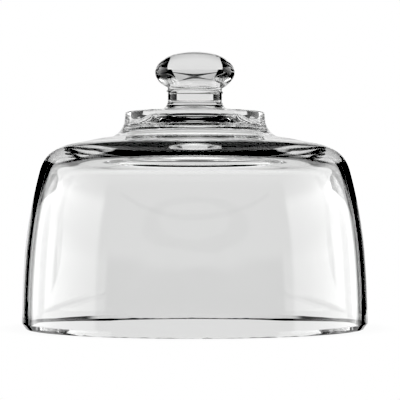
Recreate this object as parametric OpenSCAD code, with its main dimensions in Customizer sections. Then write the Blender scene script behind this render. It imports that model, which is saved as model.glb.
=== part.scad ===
// Glass dome for a cake stand: a pressed bell with a raised collar and a
// solid neck, and a solid glass knob joined to the neck at a clear seam.
// Millimetres, +Z up. The origin is the centre of the rim, on the plane
// that the dome stands on.

/* [Bell] */
// Outer radius of the rim
rim_r = 143; // [135:0.5:151]
// Height of the bevel round the foot of the rim
rim_bevel_h = 4.6; // [3:0.2:6]
// How far the bevel leans in towards the foot
rim_bevel_in = 3.2; // [2:0.2:3.6]
// Width of the flat ring that the dome stands on
foot_w = 1.5; // [1:0.1:3]
// Height of the upright band above the bevel
rim_band_h = 3.6; // [2:0.2:5]
// Outer radius where the wall meets the shoulder
wall_top_r = 128.9; // [126:0.5:132]
// Height where the wall meets the shoulder
wall_top_z = 128; // [124:0.5:132]
// Thickness of the side wall
wall_t = 4.4; // [4:0.2:6]
// Height of the shoulder at its inner end
shoulder_z = 152.3; // [151:0.1:153]

/* [Collar] */
// Outer radius of the collar's flat top
collar_top_r = 57.9; // [56:0.2:60]
// Height of the collar's flat top at its edge
collar_top_z = 178.5; // [177:0.1:180]

/* [Neck and knob] */
// Radius of the neck
neck_r = 22.5; // [21:0.1:24]
// Height of the seam between the neck and the knob
seam_z = 195.8; // [195:0.1:197]
// Thickness of the clear seam
seam_t = 0.4; // [0.3:0.1:0.8]
// How far the seam stands out from the neck
bead_out = 1; // [0.6:0.1:1.2]
// Radius of the rounded edges of the neck and the knob at the seam
edge_r = 0.8; // [0.6:0.1:1.6]
// Widest radius of the knob
knob_r = 33.05; // [31:0.05:35]
// Height of the knob's widest ring
knob_mid_z = 212; // [211:0.1:213]
// Height of the knob's top above its widest ring
knob_top_h = 17.35; // [16.5:0.05:18]
// Height of the underside's ellipse, which the foot cuts off
knob_under_h = 17.6; // [17:0.1:19]

/* [Hidden] */
$fn = 96;

glass = [0.86, 0.90, 0.90, 0.45];

// Top of the upright band round the rim, where the curved wall starts
band_top = rim_bevel_h + rim_band_h;
// Inside of the wall at its foot
inner_foot_r = rim_r - wall_t;
inner_foot_z = 7.91;
// Top and bottom faces of the seam
seam_top = seam_z + seam_t / 2;
seam_bottom = seam_z - seam_t / 2;
// The groove between the rounded edges, which the seam fills: from its
// middle to its upper or lower lip
groove_h = edge_r + seam_t / 2;
// Foot of the collar, where its fillet leaves the shoulder
collar_foot = [75, 157];
collar_fillet_r = 16.5;
// Neck fillet, where the neck grows out of the collar's flat top
neck_fillet_r = 8.5;
neck_fillet_z = 188.9;
// Foot of the knob: its underside ends where it is as wide as the foot
knob_foot_r = neck_r + 0.2;
knob_foot_angle = acos(knob_foot_r / knob_r);

// Points on an arc about [r, z], from one angle to another
function arc(centre, radius, from, to, steps) =
    [for (i = [0 : steps])
        let (a = from + (to - from) * i / steps)
        centre + radius * [cos(a), sin(a)]];

// Points on an ellipse about [r, z]
function ellipse(centre, half_w, half_h, from, to, steps) =
    [for (i = [0 : steps])
        let (a = from + (to - from) * i / steps)
        centre + [half_w * cos(a), half_h * sin(a)]];

// Points on a cubic curve from a to d, pulled towards b and c; the first
// point is left out, because the piece of outline before it ends there
function curve(a, b, c, d, steps) =
    [for (i = [1 : steps])
        let (t = i / steps, u = 1 - t)
        u * u * u * a + 3 * u * u * t * b + 3 * u * t * t * c + t * t * t * d];

// Rounded edge and end face of the neck, from its side in to the axis
function neck_end() = concat(
    arc([neck_r - edge_r, seam_bottom - edge_r], edge_r, 0, 90, 6),
    [[0, seam_bottom]]
);

// End face and rounded edge of the knob's foot, from the axis out
function knob_end() = concat(
    [[0, seam_top]],
    arc([knob_foot_r - edge_r, seam_top + edge_r], edge_r, -90, 0, 6)
);

// Outside of the seam, which bulges out between the lips of the groove, from
// the upper lip down; the lips themselves are left out
function seam_bulge() = let (
        low = [neck_r, seam_z - groove_h],
        high = [knob_foot_r, seam_z + groove_h],
        pull = 2 * [neck_r + bead_out, seam_z] - (low + high) / 2,
        points = curve(high, high + (pull - high) * 2 / 3, low + (pull - low) * 2 / 3, low, 12)
    ) [for (i = [0 : len(points) - 2]) points[i]];

// Outer outline of the bell, from the foot up to the top of the neck
function bell_outside() = let (
        foot = [rim_r - rim_bevel_in, 0],
        wall_foot = [rim_r, band_top],
        wall_top = [wall_top_r, wall_top_z],
        shoulder = [100, shoulder_z],
        collar_edge = [collar_top_r, collar_top_z - 1.2]
    ) concat(
        [foot, [rim_r, rim_bevel_h], wall_foot],
        curve(wall_foot, [rim_r - 0.8, 50], [wall_top_r + 11.7, 84], wall_top, 24),
        curve(wall_top, [wall_top_r - 2.9, 139], [120.5, 149], shoulder, 16),
        curve(shoulder, [90, 153.9], [84, 156.3], collar_foot, 8),
        arc([collar_foot[0], collar_foot[1] + collar_fillet_r], collar_fillet_r, -98, -172, 8),
        arc(collar_edge - [1.2, 0], 1.2, 0, 90, 4),
        arc([neck_r + neck_fillet_r, neck_fillet_z], neck_fillet_r, -84, -180, 12),
        neck_end()
    );

// Inner outline of the bell, from the foot up to the centre of its ceiling:
// the side wall, the corner of the shoulder, and the hollow in the collar
function bell_inside() = concat(
        [[rim_r - rim_bevel_in - foot_w, 0], [inner_foot_r, inner_foot_z]],
        curve([inner_foot_r, inner_foot_z], [inner_foot_r - 0.62, 31.72],
            [inner_foot_r - 1.28, 49.3], [inner_foot_r - 3.26, 69.81], 11),
        curve([inner_foot_r - 3.26, 69.81], [133.19, 92.07],
            [129.95, 109.72], [123.83, 126.5], 18),
        curve([123.83, 126.5], [120.49, 135.64],
            [116.83, 139.22], [101.53, 144.49], 9),
        curve([101.53, 144.49], [95.49, 146.57],
            [78.52, 149.82], [78.16, 149.8], 8),
        curve([78.16, 149.8], [68.67, 149.33],
            [67.32, 143.19], [59.12, 154.42], 7),
        curve([59.12, 154.42], [47.27, 170.66],
            [41.96, 156.18], [31.77, 167.29], 10),
        curve([31.77, 167.29], [23.73, 176.06],
            [24.45, 175.91], [15, 172.57], 6),
        curve([15, 172.57], [7.81, 170.03],
            [5.56, 173.54], [0, 173.54], 5)
    );

// Reverses a list, so that an outline can run back down
function reversed(list) = [for (i = [len(list) - 1 : -1 : 0]) list[i]];

// Pressed bell: rim, side wall, shoulder, collar and the solid neck
module bell() {
    color(glass)
        rotate_extrude()
            polygon(concat(bell_outside(), reversed(bell_inside())));
}

// Solid knob: a flattened ball on a short foot as wide as the neck
module knob() {
    color(glass)
        rotate_extrude()
            polygon(concat(
                knob_end(),
                ellipse([0, knob_mid_z], knob_r, knob_under_h, -knob_foot_angle, -4, 14),
                ellipse([0, knob_mid_z], knob_r, knob_top_h, 0, 90, 30)
            ));
}

// Clear seam: a thin layer between the neck and the knob that also fills
// the groove between their rounded edges
module seam() {
    color(glass)
        rotate_extrude()
            polygon(concat(neck_end(), knob_end(), seam_bulge()));
}

bell();
knob();
seam();
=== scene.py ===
"""A clear glass cake dome (bell, solid knob and the seam between them) in a bright studio."""
import math

import bpy
import numpy as np
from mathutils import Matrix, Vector


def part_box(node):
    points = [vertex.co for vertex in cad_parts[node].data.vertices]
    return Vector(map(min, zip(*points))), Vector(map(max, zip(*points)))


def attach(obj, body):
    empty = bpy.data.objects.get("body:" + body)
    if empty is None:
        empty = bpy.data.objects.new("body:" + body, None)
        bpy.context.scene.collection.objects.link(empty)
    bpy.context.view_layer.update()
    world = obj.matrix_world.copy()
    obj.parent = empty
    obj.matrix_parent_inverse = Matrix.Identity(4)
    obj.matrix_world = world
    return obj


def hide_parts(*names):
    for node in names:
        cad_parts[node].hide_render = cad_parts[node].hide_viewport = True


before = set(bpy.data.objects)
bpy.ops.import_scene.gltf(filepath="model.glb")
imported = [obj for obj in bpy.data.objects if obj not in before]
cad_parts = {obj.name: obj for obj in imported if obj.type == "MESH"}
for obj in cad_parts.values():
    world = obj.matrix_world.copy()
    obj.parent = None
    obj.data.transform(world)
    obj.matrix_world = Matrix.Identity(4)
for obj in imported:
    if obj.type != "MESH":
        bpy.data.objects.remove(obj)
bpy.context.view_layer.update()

MM = 0.001
TINY = 1e-6
SEGMENTS = 360
BULGE_STEPS = 16
SHARP_ANGLE = math.radians(32)

# ---------------------------------------------------------------- driving sizes, in mm
bell_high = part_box("bell")[1]
knob_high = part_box("knob")[1]
seam_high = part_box("seam")[1]

rim_r = bell_high[0] / MM
rim_bevel_h = 4.6
rim_bevel_in = 3.2
foot_w = 1.5
foot_round = 0.8
foot_top = 2.4
land_r = rim_r - rim_bevel_in - foot_w
band_top = 8.2
wall_top = (128.9, 128)
shoulder = (100, 152.3)

collar_foot = (75, 157)
collar_fillet_r = 16.5
collar_top_r = 57.9
collar_top_z = 178.5
collar_edge_r = 1.2

neck_r = 22.5
neck_fillet_r = 8.5
neck_fillet_z = 188.9

seam_z = 195.8
seam_t = 0.4
edge_r = 0.8
groove_h = edge_r + seam_t / 2
bead_r = seam_high[0] / MM

knob_r = knob_high[0] / MM
knob_top_z = knob_high[2] / MM
knob_mid_z = 212
knob_foot_r = neck_r + 0.2
knob_under_h = 17.6

# Inner outline of the bell above its foot, as cubic curves that join end to end.
# Each has four points (r, z) and a number of steps.
INSIDE = (
    ((138.6, 7.91), (137.98, 31.72), (137.32, 49.3), (135.34, 69.81), 15),
    ((135.34, 69.81), (133.19, 92.07), (129.95, 109.72), (123.83, 126.5), 22),
    ((123.83, 126.5), (120.49, 135.64), (116.83, 139.22), (101.53, 144.49), 12),
    ((101.53, 144.49), (95.49, 146.57), (78.52, 149.82), (78.16, 149.8), 9),
    ((78.16, 149.8), (68.67, 149.33), (67.32, 143.19), (59.12, 154.42), 8),
    ((59.12, 154.42), (47.27, 170.66), (41.96, 156.18), (31.77, 167.29), 12),
    ((31.77, 167.29), (23.73, 176.06), (24.45, 175.91), (15, 172.57), 8),
    ((15, 172.57), (7.81, 170.03), (5.56, 173.54), (0, 173.54), 6),
)


# ---------------------------------------------------------------- outlines, in mm
def ellipse(centre, half_w, half_h, start, end, steps):
    """Points on an ellipse about (r, z), from one angle to another in degrees."""
    turn = np.radians(np.linspace(start, end, steps + 1))
    return np.stack([centre[0] + half_w * np.cos(turn), centre[1] + half_h * np.sin(turn)], 1)


def arc(centre, radius, start, end, steps):
    """Points on an arc about (r, z), from one angle to another in degrees."""
    return ellipse(centre, radius, radius, start, end, steps)


def curve(a, b, c, d, steps):
    """Points on a cubic curve from a to d, pulled towards b and c."""
    t = np.linspace(0, 1, steps + 1)[:, None]
    u = 1 - t
    a, b, c, d = map(np.array, (a, b, c, d))
    return u**3 * a + 3 * u * u * t * b + 3 * u * t * t * c + t**3 * d


def straight(a, b, steps):
    """Points on the straight line from a to b."""
    return np.linspace(a, b, steps + 1)


def joined(*runs):
    """One outline from several runs of points, with repeated points left out."""
    out = []
    for run in runs:
        for r, z in run:
            if not out or abs(r - out[-1][0]) + abs(z - out[-1][1]) > TINY:
                out.append((float(r), float(z)))
    return out


def bell_outside():
    """From the foot up to the groove round the neck."""
    collar_fillet = (collar_foot[0], collar_foot[1] + collar_fillet_r)
    collar_edge = (collar_top_r - collar_edge_r, collar_top_z - collar_edge_r)
    return joined(
        straight((rim_r - rim_bevel_in, 0), (rim_r, rim_bevel_h), 3),
        straight((rim_r, rim_bevel_h), (rim_r, band_top), 2),
        curve((rim_r, band_top), (rim_r - 0.8, 50), (wall_top[0] + 11.7, 84), wall_top, 22),
        curve(wall_top, (wall_top[0] - 2.9, 139), (120.5, 149), shoulder, 24),
        curve(shoulder, (90, 153.9), (84, 156.3), collar_foot, 10),
        arc(collar_fillet, collar_fillet_r, -90, -172, 16),
        arc(collar_edge, collar_edge_r, -5, 90, 6),
        arc((neck_r + neck_fillet_r, neck_fillet_z), neck_fillet_r, -86, -180, 14),
        straight((neck_r, neck_fillet_z), (neck_r, seam_z - groove_h), 4),
    )


def bell_inside():
    """From the rounded inner edge of the foot up to the middle of the hollow in the neck."""
    foot = arc((land_r + foot_round, foot_round), foot_round, -90, -180, 4)
    return joined(foot, [(land_r, foot_top)], *[curve(*piece) for piece in INSIDE])


def neck_end():
    """The rounded top edge and top face of the neck, in to the middle."""
    z = seam_z - seam_t / 2
    return joined(arc((neck_r - edge_r, z - edge_r), edge_r, 0, 90, 6),
                  straight((neck_r - edge_r, z), (0, z), 5))


def knob_end():
    """The bottom face and rounded bottom edge of the knob, from the middle outwards."""
    z = seam_z + seam_t / 2
    return joined(straight((0, z), (knob_foot_r - edge_r, z), 5),
                  arc((knob_foot_r - edge_r, z + edge_r), edge_r, -90, 0, 6))


def seam_bulge():
    """The rounded outside of the seam, from the neck to the knob."""
    a = np.array((neck_r, seam_z - groove_h))
    b = np.array((bead_r, seam_z))
    c = np.array((knob_foot_r, seam_z + groove_h))
    t = np.linspace(0, 1, BULGE_STEPS + 1)[:, None]
    mid = 2 * b - (a + c) / 2
    return (1 - t) ** 2 * a + 2 * t * (1 - t) * mid + t**2 * c


def knob_outside():
    """From the groove up to the top: a short foot, the underside and the upper half."""
    foot_angle = math.degrees(math.acos(knob_foot_r / knob_r))
    return joined([(knob_foot_r, seam_z + groove_h)],
                  ellipse((0, knob_mid_z), knob_r, knob_under_h, -foot_angle, 0, 40),
                  ellipse((0, knob_mid_z), knob_r, knob_top_z - knob_mid_z, 0, 90, 52))


# ---------------------------------------------------------------- uneven glass
# The seam is out of level: its tilt fades out within a reach above and below it
SEAM_TILT = math.tan(math.radians(1.6))
SEAM_REACH = 9

# The inner edge of the foot is wavy. Each wave is (how many round the rim, size, start), and
# their sum is held between limits that keep the edge above the standing plane.
WAVES = (
    (5, 0.12, 0.4),
    (11, 0.16, 2.1),
    (23, 0.2, 4.0),
    (37, 0.22, 0.9),
    (53, 0.24, 5.2),
    (71, 0.22, 1.7),
    (97, 0.18, 3.3),
)
WAVE_LIMITS = (-0.6, 1)
WAVE_HEIGHT = 0.9
WAVY_R = land_r + foot_round + 0.05
WAVY_Z = 2


def uneven(points):
    """Tilts the points near the seam, and lifts and lowers those on the foot's inner edge."""
    x, y, z = points.T
    near = np.clip(1 - np.abs(z - seam_z) / SEAM_REACH, 0, 1)
    lowered = SEAM_TILT * x * near * near * (3 - 2 * near)
    turn = np.arctan2(y, x)
    wave = sum(size * np.sin(count * turn + start) for count, size, start in WAVES)
    edge = (np.hypot(x, y) < WAVY_R) * np.clip(z / foot_round, 0, 1) * (z < WAVY_Z)
    points[:, 2] = z - lowered + edge * wave.clip(*WAVE_LIMITS) * WAVE_HEIGHT
    return points


# ---------------------------------------------------------------- shapes
def shape(name, points, faces, materials):
    """A new object in the scene, with a mesh that has the given materials."""
    mesh = bpy.data.meshes.new(name)
    mesh.from_pydata(points, [], faces)
    for material in materials:
        mesh.materials.append(material)
    mesh.update()
    obj = bpy.data.objects.new(name, mesh)
    bpy.context.scene.collection.objects.link(obj)
    return obj


def lathe(name, outline, materials, part_of):
    """A closed shape turned about Z.

    The outline starts on the axis at the top and ends on the axis below. part_of says which of
    the materials a step of the outline has.
    """
    rings = np.array([p for p in outline if p[0] > TINY])
    turn = 2 * np.pi * np.arange(SEGMENTS) / SEGMENTS
    count = len(rings)
    points = np.empty((count, SEGMENTS, 3))
    points[..., 0] = rings[:, 0, None] * np.cos(turn)
    points[..., 1] = rings[:, 0, None] * np.sin(turn)
    points[..., 2] = rings[:, 1, None]
    points = points.reshape(-1, 3)
    top = np.full(SEGMENTS, len(points))
    bottom = top + 1
    points = np.vstack([points, [(0, 0, outline[0][1]), (0, 0, outline[-1][1])]])
    points = uneven(points) * MM

    here = np.arange(SEGMENTS)
    after = (here + 1) % SEGMENTS
    faces = []
    which = []
    for i in range(count - 1):
        a, b = i * SEGMENTS, (i + 1) * SEGMENTS
        faces += np.stack([a + here, b + here, b + after, a + after], 1).tolist()
        which += [part_of(rings[i], rings[i + 1])] * SEGMENTS
    last = (count - 1) * SEGMENTS
    faces += np.stack([top, here, after], 1).tolist()
    which += [part_of(outline[0], outline[1])] * SEGMENTS
    faces += np.stack([last + here, bottom, last + after], 1).tolist()
    which += [part_of(outline[-2], outline[-1])] * SEGMENTS

    obj = shape(name, points.tolist(), faces, materials)
    mesh = obj.data
    mesh.polygons.foreach_set("material_index", which)
    mesh.polygons.foreach_set("use_smooth", [True] * len(faces))
    mesh.update()
    mesh.set_sharp_from_angle(angle=SHARP_ANGLE)
    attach(obj, "root")
    print(name, len(mesh.vertices), "points", len(mesh.polygons), "faces")
    return obj


# ---------------------------------------------------------------- materials
GLASS_TINT = (0.99, 0.992, 0.99, 1)
GLASS_IOR = 1.51


def plain_material(name, shader_type):
    """A material with a single shader: gives the material, its nodes and the shader."""
    material = bpy.data.materials.new(name)
    material.use_nodes = True
    nodes = material.node_tree.nodes
    nodes.clear()
    shader = nodes.new(shader_type)
    out = nodes.new("ShaderNodeOutputMaterial")
    material.node_tree.links.new(shader.outputs[0], out.inputs["Surface"])
    return material, nodes, shader


def glass(name, ripple_scale, ripple_depth):
    """Clear glass with a faint ripple, whose depth is in metres."""
    material, nodes, shader = plain_material(name, "ShaderNodeBsdfPrincipled")
    links = material.node_tree.links
    shader.inputs["Base Color"].default_value = GLASS_TINT
    shader.inputs["Transmission Weight"].default_value = 1
    shader.inputs["Roughness"].default_value = 0
    shader.inputs["IOR"].default_value = GLASS_IOR
    where = nodes.new("ShaderNodeTexCoord")
    noise = nodes.new("ShaderNodeTexNoise")
    noise.inputs["Scale"].default_value = ripple_scale
    noise.inputs["Detail"].default_value = 1
    bump = nodes.new("ShaderNodeBump")
    bump.inputs["Strength"].default_value = 1
    bump.inputs["Distance"].default_value = ripple_depth
    links.new(where.outputs["Object"], noise.inputs["Vector"])
    links.new(noise.outputs["Fac"], bump.inputs["Height"])
    links.new(bump.outputs["Normal"], shader.inputs["Normal"])
    return material


# Faces where two pieces are joined: glass meets glass, so light goes straight through
bond, _, _ = plain_material("bonded_face", "ShaderNodeBsdfTransparent")
bell_glass = glass("bell_glass", ripple_scale=28, ripple_depth=0.00005)
knob_glass = glass("knob_glass", ripple_scale=40, ripple_depth=0.00004)
seam_glass = glass("seam_glass", ripple_scale=90, ripple_depth=0.00004)

# ---------------------------------------------------------------- pieces
# The joint lies between two heights, and the seam's bonded sides lie inside a radius
JOINT_MARGIN = 0.01
JOINT_LOW = seam_z - groove_h - JOINT_MARGIN
JOINT_HIGH = seam_z + groove_h + JOINT_MARGIN
BONDED_R = neck_r - 1e-4


def in_joint(a, b):
    """Whether a step of an outline lies in the joint between neck, seam and knob."""
    return int(JOINT_LOW < min(a[1], b[1]) and max(a[1], b[1]) < JOINT_HIGH)


def in_seam(a, b):
    """Whether a step of the seam's outline is in one of its two bonded sides, not its bulge."""
    return int(min(a[0], b[0]) < BONDED_R)


bell = lathe("bell_shell", joined(reversed(neck_end()), reversed(bell_outside()), bell_inside()),
             [bell_glass, bond], in_joint)
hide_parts("bell")

knob = lathe("knob_ball", joined(reversed(joined(knob_end(), knob_outside()))),
             [knob_glass, bond], in_joint)
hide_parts("knob")

seam = lathe("seam_bead", joined(knob_end(), reversed(seam_bulge()), neck_end()),
             [seam_glass, bond], in_seam)
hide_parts("seam")


# ---------------------------------------------------------------- arithmetic in shader nodes
class Sums:
    """Writes arithmetic as shader nodes."""

    def __init__(self, tree):
        self.nodes = tree.nodes
        self.links = tree.links

    def feed(self, socket, value):
        """Gives a socket a number, or the result of another node."""
        if isinstance(value, (int, float)):
            socket.default_value = value
        else:
            self.links.new(value, socket)

    def math(self, operation, *values):
        node = self.nodes.new("ShaderNodeMath")
        node.operation = operation
        for socket, value in zip(node.inputs, values):
            self.feed(socket, value)
        return node.outputs[0]

    def times(self, *values):
        product = values[0]
        for value in values[1:]:
            product = self.math("MULTIPLY", product, value)
        return product

    def ramp(self, value, start, end, low=0.0, high=1.0):
        """Goes smoothly from low at start to high at end."""
        node = self.nodes.new("ShaderNodeMapRange")
        node.interpolation_type = "SMOOTHSTEP"
        flip = end < start
        self.feed(node.inputs["Value"], value)
        node.inputs["From Min"].default_value = min(start, end)
        node.inputs["From Max"].default_value = max(start, end)
        node.inputs["To Min"].default_value = high if flip else low
        node.inputs["To Max"].default_value = low if flip else high
        return node.outputs["Result"]

    def band(self, value, start, end, soft):
        """One between start and end, nought outside, with soft edges."""
        return self.times(self.ramp(value, start - soft, start + soft),
                          self.ramp(value, end + soft, end - soft))

    def over(self, under, mask, value):
        """value where mask is one, under where it is nought."""
        node = self.nodes.new("ShaderNodeMix")
        node.data_type = "FLOAT"
        self.feed(node.inputs["Factor"], mask)
        self.feed(node.inputs["A"], under)
        self.feed(node.inputs["B"], value)
        return node.outputs["Result"]


# ---------------------------------------------------------------- floor and cards, in metres
SIDES = (("left", -1), ("right", 1))
FLOOR_R = 0.9
FLOOR_STEPS = 96
# Painted shadow on the floor: the radii between which the floor's glow is dimmed round the rim,
# and the glow at each
PAINTED_SHADOW_R = (0.141, 0.172)
PAINTED_SHADOW_LIGHT = (0.97, 1.0)


def plate(name, corners, material):
    """A flat face with one material, as a new object in the scene."""
    obj = shape(name, corners, [tuple(range(len(corners)))], [material])
    return obj


def floor_material():
    """White glowing floor with a faint soft shadow painted into its glow where the rim stands on
    it.
    """
    material, nodes, shader = plain_material("floor", "ShaderNodeEmission")
    links = material.node_tree.links
    where = nodes.new("ShaderNodeTexCoord")
    length = nodes.new("ShaderNodeVectorMath")
    length.operation = "LENGTH"
    links.new(where.outputs["Object"], length.inputs[0])
    # Painted shadow: the floor's glow is dimmed towards the rim's foot
    white = Sums(material.node_tree).ramp(length.outputs["Value"], *PAINTED_SHADOW_R, *PAINTED_SHADOW_LIGHT)
    links.new(white, shader.inputs["Strength"])
    return material


ring = [(FLOOR_R * math.cos(a), FLOOR_R * math.sin(a), 0)
        for a in np.linspace(0, 2 * math.pi, FLOOR_STEPS + 1)[:-1]]
floor = plate("floor", ring, floor_material())
floor.visible_transmission = False
floor.visible_glossy = False

card_black, _, card_shader = plain_material("black_card", "ShaderNodeEmission")
card_shader.inputs["Strength"].default_value = 0


def black_card(name, corners):
    """A black card out of the camera's sight, which only the glass shows."""
    card = plate(name, corners, card_black)
    card.visible_camera = False


def upright(start, end, low, high):
    """Corners of an upright rectangle over the line from start to end."""
    return [(*start, low), (*end, low), (*end, high), (*start, high)]


# Two cards behind the dome, which draw its dark edges. Their inner edges are further out at the
# foot than at the top: (side, inner edge at the foot, inner edge at the top, outer edge)
CARD_X = (("left", -0.26, -0.165, -0.36), ("right", 0.225, 0.162, 0.36))
CARD_Y = 0.3
CARD_Z = (0.0, 0.45)
SLOPE_Z = (0.09, 0.15)
for side, foot_x, top_x, outer_x in CARD_X:
    outline = ((foot_x, CARD_Z[0]), (outer_x, CARD_Z[0]), (outer_x, CARD_Z[1]),
               (top_x, CARD_Z[1]), (top_x, SLOPE_Z[1]), (foot_x, SLOPE_Z[0]))
    black_card(f"{side}_card", [(x, CARD_Y, z) for x, z in outline])

# Two far cards, low down, which carry the dark edges on into the corners of the rim
LOW_X = (0.82, 1.4)
LOW_Y = 1.75
LOW_Z = (-0.6, -0.045)
for side, sign in SIDES:
    black_card(f"{side}_low_card",
               upright((sign * LOW_X[0], LOW_Y), (sign * LOW_X[1], LOW_Y), *LOW_Z))

# Two small flags beside the knob, which darken its sides
FLAG_X = 0.062
FLAG_Y = (0.03, 0.1)
FLAG_Z = (0.182, 0.3)
for side, sign in SIDES:
    black_card(f"{side}_flag",
               upright((sign * FLAG_X, FLAG_Y[0]), (sign * FLAG_X, FLAG_Y[1]), *FLAG_Z))

# ---------------------------------------------------------------- light
# All the light on the glass comes from the world: a back light, a soft box on either side and a
# bright table. Directions are in degrees: round from straight behind the dome, up from the
# level for the lights, and down from it for the table. A range is full between its two
# directions. Every other pair of directions is where a change starts and where it ends.
BACK_FADE = (37.5, 34.5)
BACK_TOP = (26.5, 24)
BACK_RISE = (3, 13)
BACK_LIGHT = (0.8, 0.84)

BOX_RANGE = (43.5, 112)
BOX_SOFT = 2
# For each box: its side, the light at its outer end and the light at its inner end
BOX_LIGHT = ((-1, 1.7, 3.4), (1, 1.7, 3.6))
BOX_INWARD = (116, 55)
BOX_TOP = (26, 18)
BOX_RISE = (0, 30)
BOX_LEVEL = 0.5

ROOM_LIGHT = 0.01

TABLE_EDGE = (7.5, 9.5)
TABLE_LIGHT = 0.68
SPOT_FADE = (40, 8)
SPOT_RANGE = (24, 52)
SPOT_SOFT = 8
SPOT_LIGHT = 1.5

GAP_RANGE = (13.0, 14.3)
GAP_SOFT = 0.3
GAP_FADE = (60, 40)
GAP_LIGHT = 0.05

world = bpy.data.worlds.new("studio")
bpy.context.scene.world = world
world.use_nodes = True
world.cycles.sampling_method = "NONE"
nodes, links = world.node_tree.nodes, world.node_tree.links
nodes.clear()
sums = Sums(world.node_tree)
where = nodes.new("ShaderNodeTexCoord")
split = nodes.new("ShaderNodeSeparateXYZ")
links.new(where.outputs["Generated"], split.inputs[0])
x, y, z = split.outputs
azimuth = sums.times(sums.math("ARCTAN2", x, y), math.degrees(1))
height = sums.times(sums.math("ARCSINE", z), math.degrees(1))
depth = sums.times(height, -1)
turned = sums.math("ABSOLUTE", azimuth)

light = sums.times(sums.ramp(turned, *BACK_FADE), sums.ramp(height, *BACK_TOP),
                   sums.ramp(height, *BACK_RISE, *BACK_LIGHT))
for sign, outer_light, inner_light in BOX_LIGHT:
    around = sums.times(azimuth, sign)
    box = sums.times(sums.band(around, *BOX_RANGE, BOX_SOFT),
                     sums.ramp(around, *BOX_INWARD, outer_light, inner_light),
                     sums.ramp(height, *BOX_TOP),
                     sums.ramp(height, *BOX_RISE, BOX_LEVEL))
    light = sums.math("ADD", light, box)
light = sums.math("ADD", light, ROOM_LIGHT)

# The table has a bright spot behind the dome and a narrow dark gap
spot = sums.times(sums.ramp(turned, *SPOT_FADE), sums.band(depth, *SPOT_RANGE, SPOT_SOFT))
table = sums.over(TABLE_LIGHT, spot, SPOT_LIGHT)
light = sums.over(light, sums.ramp(depth, *TABLE_EDGE), table)
gap = sums.times(sums.band(depth, *GAP_RANGE, GAP_SOFT), sums.ramp(turned, *GAP_FADE))
light = sums.over(light, gap, GAP_LIGHT)

# The camera itself sees plain white
path = nodes.new("ShaderNodeLightPath")
lamp = nodes.new("ShaderNodeBackground")
lamp.inputs["Color"].default_value = (1, 1, 1, 1)
links.new(light, lamp.inputs["Strength"])
seen = nodes.new("ShaderNodeBackground")
seen.inputs["Color"].default_value = (1, 1, 1, 1)
mix = nodes.new("ShaderNodeMixShader")
out = nodes.new("ShaderNodeOutputWorld")
links.new(path.outputs["Is Camera Ray"], mix.inputs["Fac"])
links.new(lamp.outputs[0], mix.inputs[1])
links.new(seen.outputs[0], mix.inputs[2])
links.new(mix.outputs[0], out.inputs["Surface"])

# ---------------------------------------------------------------- camera
# Focal length, picture width and aim are in the picture's pixels
FOCAL_PX = 1740
WIDTH_PX = 400
RISE_PX = 21
TURN_PX = 5.1
SENSOR = 36
CAMERA_DISTANCE = 1.447
CAMERA_HEIGHT = 0.0884
BLACK = 0.06

camera = bpy.data.objects.new("camera", bpy.data.cameras.new("camera"))
bpy.context.scene.collection.objects.link(camera)
camera.data.sensor_width = SENSOR
camera.data.lens = SENSOR * (FOCAL_PX / WIDTH_PX)
camera.data.clip_start = 0.05
camera.data.clip_end = 50
camera.location = (0, -CAMERA_DISTANCE, CAMERA_HEIGHT)
pitch, yaw = math.atan(RISE_PX / FOCAL_PX), math.atan(TURN_PX / FOCAL_PX)
look = Vector((math.sin(yaw) * math.cos(pitch), math.cos(yaw) * math.cos(pitch), math.sin(pitch)))
camera.rotation_mode = "QUATERNION"
camera.rotation_quaternion = look.to_track_quat("-Z", "Y")

scene = bpy.context.scene
scene.camera = camera
scene.view_settings.view_transform = "Standard"
scene.view_settings.use_curve_mapping = True
scene.view_settings.curve_mapping.black_level = (BLACK, BLACK, BLACK)
scene.view_settings.curve_mapping.update()
# Light crosses many glass faces, so it needs many bounces
scene.cycles.max_bounces = 32
scene.cycles.transmission_bounces = 32
scene.cycles.glossy_bounces = 16
scene.cycles.transparent_max_bounces = 32
